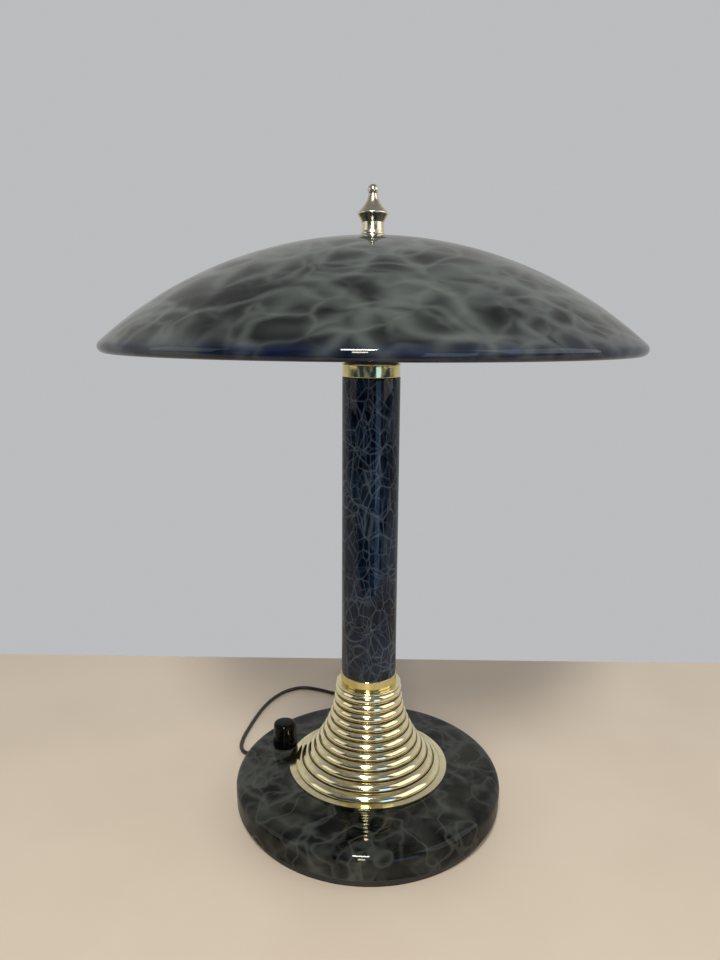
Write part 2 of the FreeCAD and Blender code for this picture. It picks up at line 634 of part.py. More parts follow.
# ---------------------------------------------------------------- dimmer
def make_dimmer():
    x, y = cell("knob_x"), cell("knob_y")

    def set_on_axis(obj):
        obj.Placement = Placement(Vector(x.value, y.value, 0), Rotation(Vector(0, 0, 1), knob_angle))
        return bind(obj, x=x, y=y)

    housing = radial_box("dimmer_box", knob_ring - 15, knob_ring + 15, cell("housing_side"),
                         cell("housing_foot"), cell("housing_top"))
    inside = radial_box("dimmer_box_inside", knob_ring - 13.5, knob_ring + 13.5,
                        cell("housing_side") - cell("housing_wall") * 2,
                        cell("housing_foot") - 1, cell("housing_top") - cell("housing_wall"))
    shaft_way = cylinder("shaft_way", half("bushing_bore"), 10, x=x, y=y, z=cell("housing_top") - 5)
    cut("dimmer_housing", housing, fuse("dimmer_hollow", [inside, shaft_way], node=False))
    board_foot = cell("housing_foot") + cell("board_gap")
    piece(radial_box("dimmer_board", half("board_side") * -1 + knob_ring, half("board_side") + knob_ring,
                     cell("board_side"), board_foot, board_foot + cell("board_thick")), "dimmer_board")

    flange, flange_top = half("bushing_flange_dia"), cell("housing_top") + 0.6
    set_on_axis(turned("dimmer_bushing", [
        (half("bushing_bore"), cell("housing_top")), (flange, cell("housing_top")),
        (flange, flange_top), (half("bushing_dia"), flange_top),
        (half("bushing_dia"), cell("bushing_top")), (half("bushing_bore"), cell("bushing_top")),
    ]))
    nut("dimmer_nut", cell("dimmer_nut_foot"), cell("dimmer_nut_height"), cell("dimmer_nut_flats"),
        cell("bushing_dia") + cell("thread_gap") * 2, x=x, y=y)

    shaft, wafer = half("shaft_dia"), half("wafer_dia")
    set_on_axis(turned("dimmer_shaft", [
        (0, cell("shaft_foot")), (shaft, cell("shaft_foot")), (shaft, cell("wafer_foot")),
        (wafer, cell("wafer_foot")), (wafer, cell("wafer_top")), (shaft, cell("wafer_top")),
        (shaft, cell("shaft_top")), (0, cell("shaft_top")),
    ]))
    grip, foot, top = half("grip_dia"), cell("knob_foot"), cell("knob_top")
    crown_edge = grip - 2.6
    crown_rise = 0.5
    crown = (crown_edge * crown_edge + crown_rise ** 2) / (crown_rise * 2)
    recess, recess_top = half("knob_recess_dia"), cell("knob_recess_top")
    bore, bore_top = half("shaft_dia") + 0.02, cell("knob_bore_top")
    set_on_axis(turned("knob", [
        (recess, foot), (half("knob_dia"), foot), (half("knob_dia") - 0.1, cell("grip_foot") - 0.8),
        (grip, cell("grip_foot")), (grip - 0.15, top - 3, (2.7, 1, False)),
        (crown_edge, top - crown_rise, (crown, 1, False)), (0, top), (0, bore_top),
        (bore, bore_top), (bore, recess_top), (recess, recess_top),
    ]))


# ---------------------------------------------------------------- wiring inside
def make_wiring():
    turn = math.radians(knob_angle)
    out = Vector(math.cos(turn), math.sin(turn), 0)
    across = Vector(-out.y, out.x, 0)
    bend_share = 0.05
    for side, sign in (("left", -1), ("right", 1)):
        strands = []
        low = CELLS[f"{side}_wire_height"]
        for offset in (-CELLS["wire_lane"], CELLS["wire_lane"]):
            lane = across * offset + Vector(sign * CELLS["wire_side"], 0, 0) + out * 0.2
            level = CELLS["lamp_axis"] + offset
            points = [
                lane + out * CELLS["wire_start"] + Vector(0, 0, low),
                lane + Vector(0, 0, low),
                lane + Vector(0, 0, level),
                Vector(sign * CELLS["wire_end"], lane.y * 0.9, level),
            ]
            strands.append(tube_solid(points, CELLS["wire_dia"] / 2, bend_share)[0])
        fixed_shape(f"wires_{side}", Part.Compound(strands))


# ---------------------------------------------------------------- mains lead
def make_lead():
    gland = turned("cord_gland", [
        (0, -cell("cover_wall")), (half("gland_neck_dia"), -cell("cover_wall")),
        (half("gland_neck_dia"), 0.4), (half("gland_dia"), 0.4),
        (half("gland_tip_dia"), cell("gland_length")), (half("cord_dia") + 0.05, cell("gland_length")),
        (half("cord_dia") + 0.05, 7.0), (0, 7.0),
    ])
    gland.Placement = gland_place(0)

    radius = CELLS["cord_dia"] / 2
    mouth = gland_place(7.4).Base
    bend = gland_place(21.0).Base
    rest = radius + 0.1
    coil_rest = CELLS["coil_foot"] + radius
    route = [mouth, bend] + [Vector(*point) for point in (
        (-109.3, 63.5, 1.9), (-109.6, 78, rest), (-107.2, 95, rest), (-104, 113, rest),
        (-99.5, 133, rest), (-92, 152, rest), (-81, 167, rest), (-66, 174.5, rest),
        (-50, 170, rest), (-34, 162, rest), (-17, 157, 1.9), (-4, 154.7, coil_rest),
    )]
    lead, lead_length, lead_radii = tube_solid(route, radius)
    fixed_shape("cord_lead", lead)

    ring = turned("cord_coil", [
        (cell("coil_inner"), cell("coil_foot") + 1), (cell("coil_inner") + 1, cell("coil_foot")),
        (cell("coil_outer") - 1, cell("coil_foot")), (cell("coil_outer"), cell("coil_foot") + 1),
        (cell("coil_outer"), cell("coil_foot") + cell("coil_height") - 1),
        (cell("coil_outer") - 1, cell("coil_foot") + cell("coil_height")),
        (cell("coil_inner") + 1, cell("coil_foot") + cell("coil_height")),
        (cell("coil_inner"), cell("coil_foot") + cell("coil_height") - 1),
    ])
    bind(ring, x=cell("coil_x"), y=cell("coil_y"))

    band = doc.addObject("Part::Box", "tie_band")
    hollow = doc.addObject("Part::Box", "tie_hollow")
    thick, wide = cell("tie_thick"), cell("coil_outer") - cell("coil_inner")
    place = {"x": cell("coil_x") + cell("coil_inner"), "y": cell("coil_y") - cell("tie_width") / 2}
    bind(hollow, Length=wide, Width=cell("tie_width"), Height=cell("coil_height") + 0.05,
         x=place["x"], y=place["y"], z=cell("coil_foot") - 0.02)
    bind(band, Length=wide + thick * 2, Width=cell("tie_width"), Height=cell("coil_height") + thick * 2,
         x=place["x"] - thick, y=place["y"], z=cell("coil_foot") - thick)
    cut("coil_tie", band, hollow)

    axis = CELLS["plug_thick"] / 2
    top = CELLS["coil_foot"] + CELLS["coil_height"] - radius
    tail_route = [Vector(-19.9, 132, top), Vector(-19.9, 144, top), Vector(-13.5, 155, top - 2),
                  Vector(-6, 165, axis + 0.7), Vector(CELLS["plug_x"], 176.5, axis)]
    tail, tail_length, tail_radii = tube_solid(tail_route, radius)
    fixed_shape("cord_tail", tail)
    print("lead", round(lead_length, 1), "arc radii", [round(value, 1) for value in lead_radii])
    print("tail", round(tail_length, 1), "arc radii", [round(value, 1) for value in tail_radii])

    # Flat two-pin plug: the body tapers back to a round strain relief.
    body_foot = CELLS["plug_back"] + CELLS["plug_relief"]
    sections = []
    for along, width, thick_here in ((0, 14, 10.5), (11, 26, 12.4), (24, 33, 13.4),
                                     (CELLS["plug_length"], CELLS["plug_width"], CELLS["plug_thick"])):
        w, t, c = width / 2, thick_here / 2, thick_here * 0.28
        ring_points = [(-w, -t + c), (-w + c, -t), (w - c, -t), (w, -t + c),
                       (w, t - c), (w - c, t), (-w + c, t), (-w, t - c)]
        corners = [Vector(CELLS["plug_x"] + px, body_foot + along, axis + pz) for px, pz in ring_points]
        sections.append(Part.makePolygon(corners + corners[:1]))
    shell = Part.makeLoft(sections, True, True)
    relief = Part.makeCone(half("gland_tip_dia").value + 0.3, 4.6, CELLS["plug_relief"] + 1,
                           Vector(CELLS["plug_x"], CELLS["plug_back"], axis), Vector(0, 1, 0))
    entry = Part.makeCylinder(radius + 0.05, 8, Vector(CELLS["plug_x"], CELLS["plug_back"] - 0.5, axis),
                              Vector(0, 1, 0))
    fixed_shape("plug_body", shell.fuse(relief).cut(entry).removeSplitter())
    pins = []
    for sign in (-1, 1):
        pin = cylinder(f"plug_pin_{(sign + 3) // 2}", half("pin_dia"), cell("pin_length"))
        pin.Placement = Placement(
            Vector(CELLS["plug_x"] + sign * CELLS["pin_spacing"] / 2,
                   body_foot + CELLS["plug_length"], axis), Rotation(Vector(1, 0, 0), -90))
        pins.append(pin)
    group("plug_pins", pins)


make_base()
make_stand()
make_sockets()
make_shade()
make_dimmer()
make_wiring()
make_lead()
doc.recompute()

# ---------------------------------------------------------------- checks and files
for obj in doc.Objects:
    if "Invalid" in obj.State or "Error" in obj.State:
        raise RuntimeError(f"{obj.Label} failed: {obj.State}")
os.makedirs("parts", exist_ok=True)
for obj in pieces:
    shape = obj.Shape
    if shape.isNull() or not shape.isValid() or not shape.Solids:
        raise RuntimeError(f"{obj.Label} has no valid solid")
for obj in pieces:
    obj.Shape.exportStep(f"parts/{obj.Label}.step")
print(len(pieces), "sub-parts written")
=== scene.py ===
"""Looks of the dome table lamp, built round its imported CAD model.

Outlines are in millimetres in the CAD frame, and MM turns them into Blender's metres. Sizes come from the
CAD nodes' boxes where a node has them.
"""
import json
import math

import bmesh
import bpy
from mathutils import Matrix, Vector


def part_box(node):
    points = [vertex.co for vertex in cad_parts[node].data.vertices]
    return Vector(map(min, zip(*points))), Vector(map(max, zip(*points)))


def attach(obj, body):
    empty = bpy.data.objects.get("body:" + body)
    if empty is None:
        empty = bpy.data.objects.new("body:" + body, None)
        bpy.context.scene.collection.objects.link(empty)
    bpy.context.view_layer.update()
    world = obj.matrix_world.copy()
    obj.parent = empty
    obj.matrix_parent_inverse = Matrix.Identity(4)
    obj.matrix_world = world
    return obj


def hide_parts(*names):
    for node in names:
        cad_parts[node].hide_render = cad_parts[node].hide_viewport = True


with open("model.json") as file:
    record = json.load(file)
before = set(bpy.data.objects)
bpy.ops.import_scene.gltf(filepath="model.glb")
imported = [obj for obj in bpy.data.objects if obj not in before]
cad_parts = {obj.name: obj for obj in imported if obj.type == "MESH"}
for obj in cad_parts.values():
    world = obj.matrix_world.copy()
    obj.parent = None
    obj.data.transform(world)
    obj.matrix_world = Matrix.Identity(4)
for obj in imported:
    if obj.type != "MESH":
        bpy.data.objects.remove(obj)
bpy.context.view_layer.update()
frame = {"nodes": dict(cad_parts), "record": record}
MM = 0.001
nodes = frame["nodes"]


def foot(node):
    """Lowest height of a CAD node, in millimetres."""
    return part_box(node)[0].z / MM


def top(node):
    """Highest height of a CAD node, in millimetres."""
    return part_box(node)[1].z / MM


def reach(node):
    """Outer radius of a CAD node turned about the lamp's axis, in millimetres."""
    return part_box(node)[1].x / MM


def add_object(name, data):
    """New object in the scene, showing the data."""
    made = bpy.data.objects.new(name, data)
    bpy.context.scene.collection.objects.link(made)
    return made


# ---------------------------------------------------------------- camera
# Millimetres and radians: back from the lamp's axis, above the table, and tilted down.
CAMERA_BACK, CAMERA_HEIGHT = 511.4, 353.2
CAMERA_PITCH, CAMERA_YAW, CAMERA_ROLL = 0.1999, -0.0144, 0.0065
FOCAL_LENGTH, SENSOR_WIDTH = 27.75, 36.0


def make_camera():
    """Camera in front of the lamp, at about the height of the shade's rim."""
    data = bpy.data.cameras.new("camera")
    data.lens = FOCAL_LENGTH
    data.sensor_width = SENSOR_WIDTH
    data.clip_start = 0.02
    camera = add_object("camera", data)
    ahead = Vector((
        math.sin(CAMERA_YAW) * math.cos(CAMERA_PITCH),
        math.cos(CAMERA_YAW) * math.cos(CAMERA_PITCH),
        -math.sin(CAMERA_PITCH),
    ))
    level = Vector((math.cos(CAMERA_YAW), -math.sin(CAMERA_YAW), 0))
    upright = level.cross(ahead)
    right = level * math.cos(CAMERA_ROLL) + upright * math.sin(CAMERA_ROLL)
    up = upright * math.cos(CAMERA_ROLL) - level * math.sin(CAMERA_ROLL)
    turn = Matrix((right, up, -ahead)).transposed().to_4x4()
    place = Matrix.Translation(Vector((0, -CAMERA_BACK, CAMERA_HEIGHT)) * MM)
    camera.matrix_world = place @ turn
    bpy.context.scene.camera = camera


make_camera()


# ---------------------------------------------------------------- mesh building
SAME_POINT = 1e-7       # metres
ON_AXIS = 1e-6          # millimetres


def add_mesh(name, points, faces, material, body, smooth_angle=32.0):
    """Mesh object from points in millimetres, smooth but for edges sharper than the angle."""
    mesh = bpy.data.meshes.new(name)
    mesh.from_pydata([Vector(p) * MM for p in points], [], faces)
    clean = bmesh.new()
    clean.from_mesh(mesh)
    bmesh.ops.remove_doubles(clean, verts=clean.verts, dist=SAME_POINT)
    bmesh.ops.recalc_face_normals(clean, faces=clean.faces)
    clean.to_mesh(mesh)
    clean.free()
    mesh.polygons.foreach_set("use_smooth", [True] * len(mesh.polygons))
    mesh.set_sharp_from_angle(angle=math.radians(smooth_angle))
    mesh.materials.append(material)
    piece = add_object(name, mesh)
    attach(piece, body)
    return piece


def arc(centre, radius, start, end, steps=12):
    """Points (x, y) on an arc from one angle to another, in degrees."""
    turn = [math.radians(start + (end - start) * i / steps) for i in range(steps + 1)]
    return [(centre[0] + radius * math.cos(a), centre[1] + radius * math.sin(a)) for a in turn]


def rounded(corners, steps=5):
    """Closed outline from corners (x, y) or (x, y, fillet): a fillet rounds its corner."""
    points = []
    count = len(corners)
    for index, corner in enumerate(corners):
        here = Vector(corner[:2])
        if len(corner) < 3:
            points.append(tuple(here))
            continue
        before = Vector(corners[index - 1][:2]) - here
        after = Vector(corners[(index + 1) % count][:2]) - here
        bend = before.angle(after)
        cut = min(corner[2] / math.tan(bend / 2), before.length * 0.49, after.length * 0.49)
        start, end = here + before.normalized() * cut, here + after.normalized() * cut
        for step in range(steps + 1):
            t = step / steps
            points.append(tuple(start.lerp(here, t).lerp(here.lerp(end, t), t)))
    return points


def lathe(name, outline, material, body, segments=160, smooth_angle=32.0, place=None):
    """Closed piece turned about the Z axis from a closed outline of (radius, height) points."""
    points, faces = [], []
    count = len(outline)
    for index in range(segments):
        turn = 2 * math.pi * index / segments
        for radius, height in outline:
            point = Vector((radius * math.cos(turn), radius * math.sin(turn), height))
            points.append(place @ point if place else point)
    for index in range(segments):
        here, there = index * count, (index + 1) % segments * count
        for k in range(count):
            after = (k + 1) % count
            if outline[k][0] > ON_AXIS or outline[after][0] > ON_AXIS:
                faces.append((here + k, there + k, there + after, here + after))
    return add_mesh(name, points, faces, material, body, smooth_angle)


def tube(name, line, radii, material, body, around):
    """Closed tube along a line of points in millimetres, with a radius at each point."""
    line = [Vector(p) for p in line]
    ahead = (line[1] - line[0]).normalized()
    side = ahead.orthogonal().normalized()
    points, faces = [], []
    for index, point in enumerate(line):
        last, following = line[max(index - 1, 0)], line[min(index + 1, len(line) - 1)]
        ahead = (following - last).normalized()
        side = (side - ahead * side.dot(ahead)).normalized()
        other = ahead.cross(side)
        for step in range(around):
            turn = 2 * math.pi * step / around
            points.append(point + (side * math.cos(turn) + other * math.sin(turn)) * radii[index])
    for index in range(len(line) - 1):
        for step in range(around):
            after = (step + 1) % around
            here, there = index * around, (index + 1) * around
            faces.append((here + step, here + after, there + after, there + step))
    faces.append(tuple(reversed(range(around))))
    faces.append(tuple(range((len(line) - 1) * around, len(line) * around)))
    return add_mesh(name, points, faces, material, body)


# ---------------------------------------------------------------- materials
class Shading:
    """A node material with a Principled shader, built by short calls."""

    def __init__(self, name, **plain):
        self.material = bpy.data.materials.new(name)
        self.material.use_nodes = True
        self.tree = self.material.node_tree
        self.shader = self.tree.nodes["Principled BSDF"]
        for socket, value in plain.items():
            self.shader.inputs[socket.replace("_", " ")].default_value = value
        self.place = self.tree.nodes.new("ShaderNodeTexCoord").outputs["Object"]

    def node(self, kind, links=None, values=None, **settings):
        made = self.tree.nodes.new(f"ShaderNode{kind}")
        for key, value in settings.items():
            setattr(made, key, value)
        for socket, value in (values or {}).items():
            made.inputs[socket].default_value = value
        for socket, source in (links or {}).items():
            self.tree.links.new(source, made.inputs[socket])
        return made

    def shifted(self, place, shift, scale=(1, 1, 1)):
        return self.node("Mapping", {"Vector": place}, {"Location": shift, "Scale": scale}).outputs[0]

    def noise(self, place, scale, detail=3.0, roughness=0.5):
        """Noise from 0 to 1; scale is in features per metre."""
        made = self.node("TexNoise", {"Vector": place}, {
            "Scale": scale, "Detail": detail, "Roughness": roughness,
        })
        return made.outputs["Fac"]

    def warped(self, place, scale, amount):
        """Place pushed about by a noise, by up to about half the amount in metres."""
        push = self.node("TexNoise", {"Vector": place}, {"Scale": scale, "Detail": 2.0}).outputs["Color"]
        centred = self.node("VectorMath", {0: push}, {1: (0.5, 0.5, 0.5)}, operation="SUBTRACT").outputs[0]
        sized = self.node("VectorMath", {0: centred}, {"Scale": amount}, operation="SCALE").outputs[0]
        return self.node("VectorMath", {0: place, 1: sized}, operation="ADD").outputs[0]

    def ramp(self, value, low, high, out_low=0.0, out_high=1.0):
        """Smooth step of a value from low to high."""
        made = self.node("MapRange", {"Value": value}, {
            "From Min": low, "From Max": high, "To Min": out_low, "To Max": out_high,
        }, interpolation_type="SMOOTHSTEP")
        return made.outputs["Result"]

    def math(self, operation, a, b):
        """Result of an operation on two inputs; each is a number or a socket."""
        sources, values = {}, {}
        for index, item in ((0, a), (1, b)):
            if isinstance(item, (int, float)):
                values[index] = item
            else:
                sources[index] = item
        return self.node("Math", sources, values, operation=operation).outputs[0]

    def mix(self, share, low, high):
        """Colour from low to high; each is a colour or a socket."""
        made = self.node("Mix", data_type="RGBA")
        self.tree.links.new(share, made.inputs["Factor"])
        for index, item in ((6, low), (7, high)):
            if isinstance(item, tuple):
                made.inputs[index].default_value = (*item, 1)
            else:
                self.tree.links.new(item, made.inputs[index])
        return made.outputs[2]

    def cracks(self, place, scale, width, fade_scale, fade_low, fade_high):
        """Web of veins between cells: 1 on a vein and 0 in a cell, dying out in places."""
        cells = self.node("TexVoronoi", {"Vector": place}, {"Scale": scale}, feature="DISTANCE_TO_EDGE")
        vein = self.ramp(cells.outputs["Distance"], 0.0, width, 1.0, 0.0)
        fade = self.ramp(self.noise(place, fade_scale, 2.0), fade_low, fade_high)
        return self.math("MULTIPLY", vein, fade)

    def strands(self, place, scale, width):
        """Thin wandering lines where a noise crosses its middle: 1 on a line and 0 away from it."""
        away = self.math("ABSOLUTE", self.math("SUBTRACT", self.noise(place, scale, 1.0), 0.5), 0.0)
        return self.ramp(away, 0.0, width, 1.0, 0.0)

    def bump(self, height, depth, strength):
        """Relief from a height of 0 to 1, as deep as the depth in metres."""
        made = self.node("Bump", {"Height": height}, {"Distance": depth, "Strength": strength})
        self.tree.links.new(made.outputs[0], self.shader.inputs["Normal"])

    def set(self, socket, source):
        """Drive one of the shader's inputs."""
        self.tree.links.new(source, self.shader.inputs[socket])


# Sizes of a lacquer's warp and fade, as shares of the scale of what they act on.
CLOUD_WARP_SHARE, VEIN_WARP_SHARE, VEIN_FADE_SHARE = 1.6, 0.8, 0.45
CLOUD_WARP = 0.03


def lacquer(name, dark, haze, vein, layers, haze_scale, haze_reach, stretch, fade, coat, band=None):
    """Marbled gloss lacquer: a dark ground, soft haze, and layers of veins under a clear coat.

    A layer is (kind, scale, width, warp, seed, strength). Web veins die out where a noise drops from the
    fade's second value to its first. A band is a painted reflection: a tint, in uneven patches, that is full
    at one height, in metres, and gone at the other.
    """
    look = Shading(name, Roughness=0.5, Specular_IOR_Level=0.0, Coat_Weight=coat, Coat_Roughness=0.025)
    stretched = look.shifted(look.place, (0, 0, 0), stretch)
    drifting = look.warped(stretched, haze_scale * CLOUD_WARP_SHARE, CLOUD_WARP)
    cloud = look.noise(drifting, haze_scale, 3.0, 0.55)
    colour = look.mix(look.ramp(cloud, *haze_reach), dark, haze)
    for kind, scale, width, warp, seed, strength in layers:
        place = look.shifted(stretched, (seed, seed * 0.7, -seed))
        place = look.warped(place, scale * VEIN_WARP_SHARE, warp)
        if kind == "web":
            lines = look.cracks(place, scale, width, scale * VEIN_FADE_SHARE, *fade)
        else:
            lines = look.strands(place, scale, width)
        colour = look.mix(look.math("MULTIPLY", lines, strength), colour, vein)
    # Painted reflection: a tint laid over the lacquer between two heights, in uneven patches.
    if band:
        height = look.node("SeparateXYZ", {0: look.place}).outputs["Z"]
        uneven = look.ramp(look.noise(look.place, 60.0, 3.0), 0.35, 0.65, 1 - band["patchiness"], 1.0)
        share = look.ramp(height, band["full_at"], band["gone_at"], band["strength"], 0.0)
        colour = look.mix(look.math("MULTIPLY", share, uneven), colour, band["painted_reflection_tint"])
    look.set("Base Color", colour)
    look.bump(look.noise(look.place, 260, 2.0), 0.00004, 0.5)
    return look.material


def metal(name, colour, shade_colour, roughness, grain=1.0):
    """Polished metal with a thin uneven tarnish and faint turned lines."""
    look = Shading(name, Metallic=1.0)
    film = look.ramp(look.noise(look.place, 90, 4.0, 0.6), 0.42, 0.75)
    look.set("Base Color", look.mix(film, colour, shade_colour))
    smudge = look.noise(look.place, 140, 3.0, 0.6)
    look.set("Roughness", look.ramp(smudge, 0.3, 0.8, roughness * 0.75, roughness * 1.5))
    lines = look.noise(look.shifted(look.place, (0, 0, 0), (1, 1, 9)), 420, 2.0)
    look.bump(lines, 0.00002 * grain, 0.5)
    return look.material


def moulded(name, dark, light, roughness, scale=600.0, depth=0.00003, **plain):
    """Moulded, painted or cast surface: colour drifts between two tones, with a fine texture."""
    look = Shading(name, **plain)
    drift = look.ramp(look.noise(look.place, 70, 3.0, 0.6), 0.35, 0.7)
    look.set("Base Color", look.mix(drift, dark, light))
    wear = look.noise(look.place, 180, 3.0)
    look.set("Roughness", look.ramp(wear, 0.3, 0.7, roughness * 0.8, roughness * 1.25))
    look.bump(look.noise(look.place, scale, 3.0, 0.6), depth, 0.6)
    return look.material


shade_lacquer = lacquer(
    "shade_lacquer",
    dark=(0.0006, 0.0008, 0.0012), haze=(0.008, 0.0095, 0.0098), vein=(0.112, 0.129, 0.126),
    layers=[
        ("web", 21.0, 0.34, 0.055, 3.1, 0.30),
        ("web", 21.0, 0.16, 0.055, 3.1, 0.36),
        ("web", 36.0, 0.30, 0.034, 7.7, 0.22),
        ("web", 36.0, 0.12, 0.034, 7.7, 0.24),
        ("strand", 19.0, 0.050, 0.040, 5.3, 0.34),
    ],
    haze_scale=18.0, haze_reach=(0.44, 0.72), stretch=(1, 1, 1.8), fade=(0.38, 0.60), coat=0.7,
    # Painted reflection: the lower part of the rolled rim is tinted navy, standing in for the dark blue it
    # reflects.
    band={"full_at": 0.344, "gone_at": 0.3495, "painted_reflection_tint": (0.006, 0.012, 0.046), "strength": 0.62,
          "patchiness": 0.55},
)
# Painted reflection: the navy in the column's ground and haze stands in for the dark blue in front of the
# lamp.
column_lacquer = lacquer(
    "column_lacquer",
    dark=(0.0005, 0.0016, 0.0080), haze=(0.006, 0.014, 0.034), vein=(0.095, 0.128, 0.165),
    layers=[
        ("web", 85.0, 0.050, 0.004, 2.3, 0.55),
        ("web", 62.0, 0.036, 0.004, 9.1, 0.55),
        ("web", 118.0, 0.055, 0.003, 5.7, 0.45),
        ("web", 74.0, 0.040, 0.003, 17.3, 0.50),
        ("strand", 62.0, 0.010, 0.003, 4.9, 0.32),
        ("strand", 90.0, 0.012, 0.003, 15.3, 0.26),
    ],
    haze_scale=46.0, haze_reach=(0.40, 0.66), stretch=(1, 1, 0.6), fade=(0.36, 0.58), coat=0.5,
    # Painted reflection: the band greys the foot of the column, standing in for the pale table it reflects.
    band={"full_at": 0.095, "gone_at": 0.160, "painted_reflection_tint": (0.034, 0.038, 0.036), "strength": 0.42,
          "patchiness": 0.95},
)
base_lacquer = lacquer(
    "base_lacquer",
    dark=(0.0005, 0.0006, 0.0009), haze=(0.013, 0.014, 0.0110), vein=(0.068, 0.075, 0.068),
    layers=[
        ("web", 34.0, 0.34, 0.032, 1.9, 0.28),
        ("web", 34.0, 0.13, 0.032, 1.9, 0.36),
        ("web", 58.0, 0.14, 0.022, 6.1, 0.34),
        ("strand", 34.0, 0.028, 0.024, 8.3, 0.36),
    ],
    haze_scale=24.0, haze_reach=(0.47, 0.68), stretch=(1, 1, 1), fade=(0.38, 0.60), coat=0.42,
)
skirt_brass = metal("skirt_brass", (0.90, 0.82, 0.52), (0.76, 0.67, 0.38), 0.11)
# Near-black brass: painted shade for the skirt's grooves and its inner wall.
painted_shade_brass = metal("painted_shade_brass", (0.13, 0.10, 0.045), (0.07, 0.055, 0.025), 0.35)
collar_brass = metal("collar_brass", (0.71, 0.64, 0.30), (0.54, 0.43, 0.16), 0.10)
finial_brass = metal("finial_brass", (0.80, 0.74, 0.55), (0.62, 0.56, 0.39), 0.20)
zinc_steel = metal("zinc_steel", (0.62, 0.62, 0.58), (0.45, 0.44, 0.38), 0.28, 2.0)
pin_metal = metal("pin_metal", (0.78, 0.77, 0.73), (0.66, 0.64, 0.58), 0.16)
contact_brass = metal("contact_brass", (0.78, 0.62, 0.30), (0.60, 0.45, 0.20), 0.25)
cap_metal = metal("cap_metal", (0.74, 0.74, 0.72), (0.60, 0.60, 0.58), 0.22)
filament_wire = metal("filament_wire", (0.30, 0.30, 0.32), (0.20, 0.20, 0.22), 0.35)
black_plastic = moulded("black_plastic", (0.008, 0.008, 0.009), (0.014, 0.014, 0.015), 0.42)
foam = moulded("foam", (0.012, 0.012, 0.012), (0.022, 0.022, 0.021), 0.9, 900, 0.0002)
cast_iron = moulded("cast_iron", (0.05, 0.05, 0.05), (0.11, 0.10, 0.09), 0.6, 350, 0.0003, Metallic=0.8)
hub_paint = moulded("hub_paint", (0.010, 0.010, 0.011), (0.016, 0.016, 0.017), 0.35)
circuit_board = moulded("circuit_board", (0.02, 0.09, 0.03), (0.03, 0.13, 0.05), 0.4)
knob_plastic = moulded("knob_plastic", (0.0012, 0.0012, 0.0014), (0.0022, 0.0022, 0.0024), 0.10, 500, 0.00001,
                       Specular_IOR_Level=0.12)
wire_insulation = moulded("wire_insulation", (0.50, 0.45, 0.36), (0.60, 0.55, 0.46), 0.5)
cord_pvc = moulded("cord_pvc", (0.007, 0.007, 0.007), (0.012, 0.012, 0.012), 0.32)
tie_wire = moulded("tie_wire", (0.012, 0.012, 0.013), (0.02, 0.02, 0.021), 0.45)
plug_plastic = moulded("plug_plastic", (0.009, 0.009, 0.0095), (0.015, 0.015, 0.016), 0.36)
phenolic = moulded("phenolic", (0.012, 0.010, 0.008), (0.022, 0.018, 0.014), 0.3)
white_enamel = moulded("white_enamel", (0.72, 0.71, 0.67), (0.80, 0.79, 0.76), 0.35, 300, 0.00005)
bulb_glass = moulded("bulb_glass", (0.86, 0.86, 0.84), (0.92, 0.92, 0.90), 0.45,
                     Transmission_Weight=0.65, IOR=1.45)
stem_glass = moulded("stem_glass", (0.90, 0.92, 0.92), (0.95, 0.96, 0.96), 0.05, 300, 0.00002,
                     Transmission_Weight=1.0, IOR=1.5)

LOOKS = {
    "base_lacquer": base_lacquer, "shade_lacquer": shade_lacquer, "column_lacquer": column_lacquer,
    "foam": foam, "black_plastic": black_plastic, "cast_iron": cast_iron, "zinc_steel": zinc_steel,
    "skirt_brass": skirt_brass, "collar_brass": collar_brass, "finial_brass": finial_brass,
    "hub_paint": hub_paint, "circuit_board": circuit_board, "knob_plastic": knob_plastic,
    "wire_insulation": wire_insulation, "cord_pvc": cord_pvc, "tie_wire": tie_wire,
    "plug_plastic": plug_plastic, "pin_metal": pin_metal, "phenolic": phenolic,
    "contact_brass": contact_brass, "cap_metal": cap_metal, "bulb_glass": bulb_glass,
    "stem_glass": stem_glass, "filament_wire": filament_wire,
}


def dress_nodes():
    """Give every CAD node the look of its material slot."""
    for row in frame["record"]["subparts"]:
        mesh = nodes[row["node"]].data
        mesh.materials.clear()
        mesh.materials.append(LOOKS[row["material_slot"]])


dress_nodes()

# ---------------------------------------------------------------- mains lead
CORD_RADIUS = 1.6
EXIT_ANGLE, EXIT_DROOP, EXIT_RADIUS, EXIT_HEIGHT = 153.0, 5.3, 95.6, 4.6
REST = 1.7              # height of the lead's middle where it lies on the table
COIL_CENTRE = (-4.0, 132.0)
COIL_LANES = (22.5, 19.2, 15.9, 12.6)
COIL_ROWS = (2.2, 5.5, 8.8, 12.1)
COIL_TURNS = 13.75
TURN_POINTS = 16


def outlet(along):
    """Point on the axis of the lead's outlet, a distance outside the base's wall."""
    turn, droop = math.radians(EXIT_ANGLE), math.radians(EXIT_DROOP)
    flat = EXIT_RADIUS + along * math.cos(droop)
    return (flat * math.cos(turn), flat * math.sin(turn), EXIT_HEIGHT - along * math.sin(droop))


LEAD_ROUTE = [
    outlet(7.4), outlet(21.0),
    (-109.3, 63.5, 1.9), (-109.6, 78, REST), (-107.2, 95, REST), (-104, 113, REST), (-99.5, 133, REST),
    (-92, 152, REST), (-81, 167, REST), (-66, 174.5, REST), (-50, 170, REST), (-34, 162, REST),
    (-17, 157, 1.9), (-4, 154.7, 2.2),
]
TAIL_ROUTE = [
    (-19.9, 132, 12.2), (-19.9, 144, 12.2), (-13.5, 155, 10.2), (-6, 165, 7.5), (-3, 176.5, 6.8),
]


